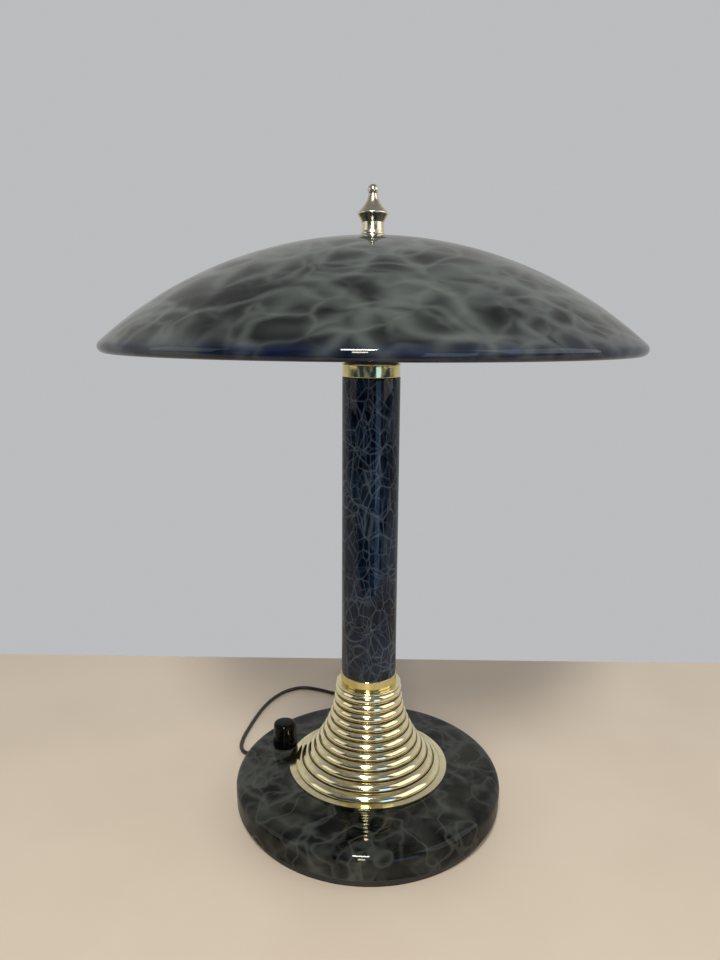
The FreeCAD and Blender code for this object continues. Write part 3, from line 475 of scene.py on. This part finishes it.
def coil_route():
    """Turns of the coil, clockwise from above: each row winds in or out by one lane a turn."""
    rows = len(COIL_ROWS)
    spiral = []
    for row in range(rows):
        lanes = COIL_LANES if row % 2 == 0 else COIL_LANES[::-1]
        spiral += [(lane, COIL_ROWS[row]) for lane in lanes]
    points = []
    shrink = math.cos(math.pi / TURN_POINTS)
    for step in range(1, int(COIL_TURNS * TURN_POINTS)):
        turn = step / TURN_POINTS
        lane = int(turn)
        share = min(max((turn - lane - 0.7) / 0.3, 0), 1)
        share = share * share * (3 - 2 * share)
        after = spiral[min(lane + 1, len(spiral) - 1)]
        radius = spiral[lane][0] + (after[0] - spiral[lane][0]) * share
        height = spiral[lane][1] + (after[1] - spiral[lane][1]) * share
        angle = math.pi / 2 - turn * 2 * math.pi
        points.append((COIL_CENTRE[0] + radius / shrink * math.cos(angle),
                       COIL_CENTRE[1] + radius / shrink * math.sin(angle), height))
    return points


def make_cord():
    """The whole lead as one round curve, from the base's outlet to the plug."""
    route = LEAD_ROUTE + coil_route() + TAIL_ROUTE
    curve = bpy.data.curves.new("mains_lead", "CURVE")
    curve.dimensions = "3D"
    curve.bevel_depth = CORD_RADIUS * MM
    curve.bevel_resolution = 6
    curve.resolution_u = 5
    curve.use_fill_caps = True
    spline = curve.splines.new("NURBS")
    spline.points.add(len(route) - 1)
    for point, place in zip(spline.points, route):
        point.co = (*(Vector(place) * MM), 1)
    spline.order_u = 3
    spline.use_endpoint_u = True
    curve.materials.append(cord_pvc)
    lead = add_object("mains_lead", curve)
    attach(lead, "stand")
    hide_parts("cord_lead", "cord_coil", "cord_tail")
    return lead


def line_of(lead):
    """The cord's own centreline, in millimetres."""
    bare = bpy.data.objects.new("bare_line", lead.data.copy())
    bare.data.bevel_depth = 0
    bare.data.use_fill_caps = False
    mesh = bpy.data.meshes.new_from_object(bare)
    line = [v.co / MM for v in mesh.vertices]
    bpy.data.meshes.remove(mesh)
    bpy.data.curves.remove(bare.data)
    return line


def make_strain_relief(line):
    """Tapered ribbed sleeve that starts inside the base's wall and bends with the lead."""
    inner, outer = -2.2, 19.0
    spacing, straight_points, steps = 1.2, 8, 84
    rib_pitch, rib_width, groove = 2.4, 1.5, 0.42
    path = [Vector(outlet(inner + spacing * step)) for step in range(straight_points)]
    along = inner + spacing * (straight_points - 1)
    last = path[-1]
    for point in line:
        if (point - Vector(outlet(0))).length > along + 1.0 and along < outer:
            path.append(point)
            along += (point - last).length
            last = point
    lengths = [0.0]
    for before, after in zip(path, path[1:]):
        lengths.append(lengths[-1] + (after - before).length)
    fine, radii = [], []
    for step in range(steps + 1):
        at = lengths[-1] * step / steps
        index = max(k for k in range(len(lengths)) if lengths[k] <= at + 1e-9)
        index = min(index, len(path) - 2)
        span = lengths[index + 1] - lengths[index]
        fine.append(path[index].lerp(path[index + 1], (at - lengths[index]) / span))
        out = at + inner
        radius = 2.95 - 0.95 * (max(out, 0) / outer)
        if 2.0 < out < outer - 1.5 and out % rib_pitch > rib_width:
            radius -= groove
        if out > outer - 0.6:
            radius -= 0.25
        if out < 0.3:
            radius = 2.5
        radii.append(radius)
    sleeve = tube("strain_relief", fine, radii, cord_pvc, "stand", 28)
    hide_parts("cord_gland")
    return sleeve


lead = make_cord()
lead_line = line_of(lead)
strain_relief = make_strain_relief(lead_line)


def make_plug():
    """Flat two-pin plug: a soft-cornered body with finger grooves and a ribbed tail."""
    low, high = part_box("plug_body")
    centre = (low.x + high.x) / 2 / MM
    level = (low.z + high.z) / 2 / MM
    back, face = low.y / MM, high.y / MM
    width, thick = (high.x - low.x) / 2 / MM, (high.z - low.z) / 2 / MM
    tail, tail_radius, tail_growth, neck = 12.0, 2.5, 2.6, 5.1
    rib_pitch, rib_width, rib_groove = 2.4, 1.5, 0.45
    grip_pitch, grip_width, grip_groove = 3.2, 2.1, 0.5
    rim_step = 0.5
    circle, squarer = 2.0, 2.6
    steps, around = 90, 48
    points, faces = [], []
    for step in range(steps + 1):
        along = (face - back) * step / steps
        if along < tail:
            share = along / tail
            half_width = tail_radius + tail_growth * share
            half_thick = half_width
            if along % rib_pitch > rib_width and 0.8 < along < tail - 1:
                half_width -= rib_groove
                half_thick -= rib_groove
            power = circle
        else:
            share = (along - tail) / (face - back - tail)
            ease = math.sin(min(share * 1.5, 1) * math.pi / 2)
            half_width = neck + (width - neck) * ease
            half_thick = neck + (thick - neck) * min(ease * 1.15, 1)
            power = circle + squarer * ease
            if 0.16 < share < 0.56 and along % grip_pitch > grip_width:
                half_width -= grip_groove
            if share > 0.97:
                half_width -= rim_step
                half_thick -= rim_step
        for k in range(around):
            turn = 2 * math.pi * k / around
            c, s = math.cos(turn), math.sin(turn)
            points.append((
                centre + half_width * math.copysign(abs(c) ** (2 / power), c),
                back + along,
                level + half_thick * math.copysign(abs(s) ** (2 / power), s),
            ))
    for index in range(steps):
        for k in range(around):
            after = (k + 1) % around
            here, there = index * around, (index + 1) * around
            faces.append((here + k, here + after, there + after, there + k))
    faces.append(tuple(range(around)))
    faces.append(tuple(range(steps * around, (steps + 1) * around)))
    plug = add_mesh("plug_shell", points, faces, plug_plastic, "stand")
    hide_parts("plug_body")
    return plug


plug = make_plug()


def make_coil_tie():
    """Flat wire tie: one closed strip round the coil's turns, with a raised middle."""
    low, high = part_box("coil_tie")
    inner, outer = low.x / MM + 0.3, high.x / MM - 0.3
    base, crest = low.z / MM + 0.3, high.z / MM - 0.3
    middle = (low.y + high.y) / 2 / MM
    fillet, half_width, half_thick = 1.6, 2.0, 0.3
    corners = [(inner, base), (outer, base), (outer, crest), (inner, crest)]
    ring = rounded([(x, z, fillet) for x, z in corners], 6)
    strip = ((-1, -1), (-1, 1), (0, 1.5), (1, 1), (1, -1))
    points, faces = [], []
    centre = Vector(((inner + outer) / 2, (base + crest) / 2))
    for x, z in ring:
        away = (Vector((x, z)) - centre).normalized() * half_thick
        for across, lift in strip:
            points.append((x + away.x * lift, middle + half_width * across, z + away.y * lift))
    count, sides = len(ring), len(strip)
    for index in range(count):
        here, there = index * sides, (index + 1) % count * sides
        for k in range(sides):
            after = (k + 1) % sides
            faces.append((here + k, here + after, there + after, there + k))
    band = add_mesh("wire_tie", points, faces, tie_wire, "stand")
    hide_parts("coil_tie")
    return band


wire_tie = make_coil_tie()


# ---------------------------------------------------------------- base
def make_base():
    """Lacquered shell of the base, the cover that closes it from below, and its foam ring."""
    radius, low, crown = reach("base_shell"), foot("base_shell"), top("base_shell")
    lip, wall, edge = radius - 0.3, 1.4, 7.0
    shoulder, crown_radius = crown - 3.5, 60.2
    hole = 5.4
    outline = [(hole, crown), (crown_radius, crown)]
    outline += arc((radius - edge, shoulder - edge), edge, 84, 2, 18)
    outline += [(lip, low + 0.5), (lip - 0.4, low), (lip - 2.4, low), (lip - 2.7, low + 0.5)]
    outline += arc((radius - edge, shoulder - edge), edge - wall, 0, 84, 12)
    outline += [(crown_radius, crown - wall), (hole, crown - wall)]
    shell = lathe("lacquered_base", outline, base_lacquer, "stand", 256)
    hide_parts("base_shell")

    radius, low, high = reach("bottom_cover"), foot("bottom_cover"), top("bottom_cover")
    outline = rounded([
        (0, low), (radius, low, 0.7), (radius, high, 0.4), (radius - 2.2, high, 0.4),
        (radius - 2.2, low + 1.2), (54, low + 1.2), (54, low + 4.4, 0.5), (46, low + 4.4, 0.5),
        (46, low + 1.2), (0, low + 1.2),
    ])
    cover = lathe("base_cover", outline, black_plastic, "stand", 200)
    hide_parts("bottom_cover")

    low, high = foot("base_pad"), top("base_pad")
    outer, inner = reach("base_pad"), 66.0
    outline = rounded([(inner, low, 0.5), (outer, low, 0.5), (outer, high, 0.3), (inner, high, 0.3)])
    pad = lathe("foam_ring", outline, foam, "stand", 200)
    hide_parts("base_pad")


# ---------------------------------------------------------------- ribbed skirt and column
def make_skirt():
    """Trumpet of spun beads: the mean line is one arc, upright at the neck."""
    high, low = top("skirt"), foot("skirt")
    spread_radius = reach("skirt")
    neck, drop = 23.7, high - low
    spread = spread_radius - neck
    flare = (spread ** 2 + drop ** 2) / (2 * spread)
    groove, rise, wall = 0.7, 1.4, 2.4

    def trumpet(height, inside):
        return neck + flare - math.sqrt((flare + inside) ** 2 - (high - height) ** 2)

    rim_bead = 2.0
    outline = [(10.0, high), (neck - 0.9, high)]
    outline += arc((neck - 0.8, high - rim_bead / 2), rim_bead / 2, 80, -80, 10)
    height = high - rim_bead
    ribs, pitch, step, bead_steps = 11, 6.9, 0.2236, 12
    for index in range(ribs):
        below = height - (pitch - step * index)
        start = Vector((neck - 0.8 if index == 0 else trumpet(height, groove), height))
        end = Vector((trumpet(below, groove), below))
        chord = end - start
        out = Vector((-chord.y, chord.x)).normalized()
        for k in range(bead_steps + 1):
            share = k / bead_steps
            swell = rise * (1 - abs(2 * share - 1) ** 2.2)
            outline.append(tuple(start + chord * share + out * swell))
        height = below
    outline += [(spread_radius, height - 0.5), (spread_radius, low + 0.3), (spread_radius - 0.3, low)]
    lid, wall_steps = 1.2, 14
    for k in range(wall_steps + 1):
        level = low + (drop - lid) * k / wall_steps
        outline.append((trumpet(level, wall), level))
    outline.append((10.0, high - lid))
    skirt = lathe("ribbed_skirt", outline, skirt_brass, "stand", 256, 50)
    # Painted shade: faces in the grooves between beads, and the inner wall, take the near-black brass where
    # light is shut out.
    skirt.data.materials.append(painted_shade_brass)
    for face in skirt.data.polygons:
        spot = face.center / MM
        level = math.hypot(spot.x, spot.y) - trumpet(spot.z, groove)
        if level < 0.42 and low + 1 < spot.z < high - rim_bead:
            face.material_index = 1
    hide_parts("skirt")


def make_column():
    """Lacquered tube between two turned collars, each with a spigot inside the tube."""
    collar = reach("lower_collar")
    low, high = top("skirt"), foot("column_tube")
    rod_hole, spigot, hollow, spigot_length = 5.4, 18.7, 16.7, 10.5
    outline = rounded([
        (rod_hole, low - 3), (9.9, low - 3), (9.9, low), (collar, low, 0.7), (collar, high, 0.7),
        (spigot, high), (spigot, high + spigot_length), (hollow, high + spigot_length),
        (hollow, high - 3.5), (rod_hole, high - 3.5),
    ], 4)
    lower = lathe("lower_ring", outline, collar_brass, "stand", 192)
    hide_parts("lower_collar")

    radius, low, high = reach("column_tube"), foot("column_tube"), top("column_tube")
    outline = rounded([
        (radius - 1.2, low), (radius, low, 0.4), (radius, high, 0.4), (radius - 1.2, high),
    ], 3)
    column = lathe("lacquered_column", outline, column_lacquer, "stand", 192)
    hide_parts("column_tube")

    collar, low, high = reach("top_collar"), top("column_tube"), top("top_collar")
    outline = rounded([
        (rod_hole, high), (collar, high, 0.8), (collar, low, 0.6), (spigot, low),
        (spigot, low - spigot_length), (hollow, low - spigot_length), (hollow, high - 4),
        (rod_hole, high - 4),
    ], 4)
    upper = lathe("upper_ring", outline, collar_brass, "stand", 192)
    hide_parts("top_collar")


# ---------------------------------------------------------------- shade
def make_shade():
    """Spun dome: one arc down to a rolled rim, lacquered outside and enamelled inside."""
    apex, bead = top("shade"), 4.0
    ring = reach("shade") - bead
    rim = foot("shade") + bead
    drop = apex - rim
    dome = (ring ** 2 + drop ** 2 - bead ** 2) / (2 * (drop - bead))
    centre = apex - dome
    lean = math.degrees(math.atan2(rim - centre, ring))
    sheet, hole, roll = 1.0, 5.28, 236
    start = math.degrees(math.acos(hole / dome))
    outline = arc((0, centre), dome, start, lean, 90)
    outline += arc((ring, rim), bead, lean, lean - roll, 40)[1:]
    outline += arc((ring, rim), bead - sheet, lean - roll, lean, 30)
    outline += arc((0, centre), dome - sheet, lean, start, 60)[1:]
    shade = lathe("dome_shade", outline, shade_lacquer, "shade", 320, 40)
    shade.data.materials.append(white_enamel)
    limit = (ring - 0.4) * MM
    for face in shade.data.polygons:
        spot = face.center
        away = math.hypot(spot.x, spot.y)
        inner = math.hypot(away, spot.z - centre * MM) < (dome - sheet / 2) * MM
        if inner and away < limit and spot.z > (rim - 1) * MM:
            face.material_index = 1
    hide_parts("shade")


def make_finial():
    """Turned finial on its washer: a waisted foot, a collar, a concave cone and a ball."""
    low, high, radius = foot("finial_washer"), top("finial_washer"), reach("finial_washer")
    outline = rounded([(4.0, low), (radius, low, 0.5), (radius, high, 0.6), (4.0, high)], 5)
    washer = lathe("finial_ring", outline, finial_brass, "finial_carrier", 96)
    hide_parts("finial_washer")

    base, tip, widest = high + 0.1, top("finial"), reach("finial")
    ball, neck, bore = 3.7, 2.9, 3.05
    sag_depth, sag_bias, cone_steps = 1.25, 1.15, 20
    ball_centre = tip - ball
    outline = [(bore, low + 0.2), (3.9, low + 0.2), (3.9, base)]
    outline += rounded([(8.2, base, 0.3), (8.2, base + 0.9, 0.3), (7.6, base + 2.4, 2.0),
                        (7.3, base + 5.6, 3.0), (7.3, base + 9.7, 0.7)], 5)[1:]
    outline += arc((widest - 1.25, base + 13.2), 1.25, -56, 52, 12)
    shoulder = Vector(outline[-1])
    meet = Vector((neck, ball_centre - math.sqrt(ball ** 2 - neck ** 2)))
    for k in range(1, cone_steps + 1):
        share = k / cone_steps
        spot = shoulder.lerp(meet, share)
        sag = sag_depth * math.sin(math.pi * share ** sag_bias)
        outline.append((spot.x - sag * 0.86, spot.y - sag * 0.5))
    outline += arc((0, ball_centre), ball, math.degrees(math.asin((meet.y - ball_centre) / ball)), 90, 22)
    outline += [(0, base + 9.8), (bore, base + 9.8)]
    finial = lathe("brass_finial", outline, finial_brass, "finial", 128, 28)
    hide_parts("finial")


def make_knob():
    """Round dimmer knob with a flange at its foot, hollow below and bored for its shaft."""
    low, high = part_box("knob")
    x, y = (low.x + high.x) / 2 / MM, (low.y + high.y) / 2 / MM
    radius, base, crest = (high.x - low.x) / 2 / MM, low.z / MM, high.z / MM
    ledge, grip = 38.2, radius - 0.65
    shaft_bore, shaft_end, hollow, hollow_top = 3.02, 46.2, 7.3, 33.4
    outline = rounded([
        (hollow, base), (radius, base, 0.5), (radius - 0.1, ledge - 0.8, 0.4), (grip, ledge, 0.3),
        (grip - 0.15, crest - 0.4, 2.6), (0.0, crest), (0.0, shaft_end), (shaft_bore, shaft_end),
        (shaft_bore, hollow_top), (hollow, hollow_top),
    ], 8)
    knob = lathe("dimmer_knob", outline, knob_plastic, "knob", 96, 30, Matrix.Translation((x, y, 0)))
    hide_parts("knob")


make_base()
make_skirt()
make_column()
make_shade()
make_finial()
make_knob()


# ---------------------------------------------------------------- stage and light
def make_floor():
    """Pale strip of table, as deep as the lamp's brass and lacquer should reflect."""
    look = Shading("pale_floor", Roughness=0.45)
    tone = look.ramp(look.noise(look.place, 9, 3.0), 0.3, 0.7)
    look.set("Base Color", look.mix(tone, (0.575, 0.495, 0.405), (0.60, 0.52, 0.43)))
    mesh = bpy.data.meshes.new("floor")
    near, far, side = -0.36, 0.245, 1.6
    mesh.from_pydata([(-side, near, 0), (side, near, 0), (side, far, 0), (-side, far, 0)], [], [(0, 1, 2, 3)])
    mesh.materials.append(look.material)
    floor = add_object("floor", mesh)


def add_light(name, place, target, size, power, colour):
    """Rectangular lamp of a size in metres and a power in watts, turned to face the target."""
    data = bpy.data.lights.new(name, "AREA")
    data.shape = "RECTANGLE"
    data.size, data.size_y = size
    data.energy = power
    data.color = colour
    light = add_object(name, data)
    light.location = place
    light.rotation_euler = (Vector(target) - Vector(place)).to_track_quat("-Z", "Y").to_euler()


def make_world():
    """Pale room: bright behind the lamp, dim in front, middling above; the camera sees it plain."""
    world = bpy.data.worlds.new("room")
    world.use_nodes = True
    bpy.context.scene.world = world
    tree = world.node_tree
    link = tree.links.new

    def step(value, low, high, curve):
        made = tree.nodes.new("ShaderNodeMapRange")
        made.interpolation_type = curve
        made.inputs["From Min"].default_value = low
        made.inputs["From Max"].default_value = high
        link(value, made.inputs["Value"])
        return made.outputs["Result"]

    def blend(share, low, high):
        made = tree.nodes.new("ShaderNodeMix")
        made.data_type = "RGBA"
        link(share, made.inputs["Factor"])
        for index, item in ((6, low), (7, high)):
            if isinstance(item, tuple):
                made.inputs[index].default_value = (*item, 1)
            else:
                link(item, made.inputs[index])
        return made.outputs[2]

    spot = tree.nodes.new("ShaderNodeTexCoord").outputs["Generated"]
    axes = tree.nodes.new("ShaderNodeSeparateXYZ")
    link(spot, axes.inputs[0])
    patches = tree.nodes.new("ShaderNodeTexNoise")
    patches.inputs["Scale"].default_value = 3.2
    patches.inputs["Detail"].default_value = 2.0
    link(spot, patches.inputs["Vector"])
    patchy = step(patches.outputs["Fac"], 0.50, 0.58, "LINEAR")
    front = blend(patchy, (0.018, 0.040, 0.105), (0.26, 0.25, 0.22))
    walls = blend(step(axes.outputs["Y"], -0.35, 0.45, "SMOOTHSTEP"), front, (0.58, 0.57, 0.56))
    room = blend(step(axes.outputs["Z"], 0.35, 1.0, "SMOOTHSTEP"), walls, (0.20, 0.20, 0.21))
    is_camera = tree.nodes.new("ShaderNodeLightPath").outputs["Is Camera Ray"]
    seen = blend(is_camera, room, (0.50, 0.505, 0.52))
    link(seen, tree.nodes["Background"].inputs["Color"])


make_floor()
make_world()
AIM = (0.0, 0.0, 0.2)
add_light("ceiling", (-0.15, -1.45, 1.95), AIM, size=(0.42, 0.5), power=44, colour=(1.0, 0.97, 0.92))
add_light("front_lamp", (-0.16, -2.2, 0.98), AIM, size=(0.22, 0.60), power=13, colour=(1.0, 0.93, 0.58))
add_light("blue_window", (1.05, -1.95, -0.1), (0.0, 0.0, -0.1), size=(0.75, 1.5), power=6.5,
          colour=(0.34, 0.58, 1.0))
add_light("left_wall", (-1.9, -0.5, 0.9), AIM, size=(1.2, 1.2), power=3.5, colour=(1.0, 0.97, 0.86))
add_light("side_window", (1.9, -0.6, 1.2), AIM, size=(1.9, 1.7), power=13, colour=(1.0, 0.94, 0.94))
bpy.context.scene.view_settings.view_transform = "Standard"
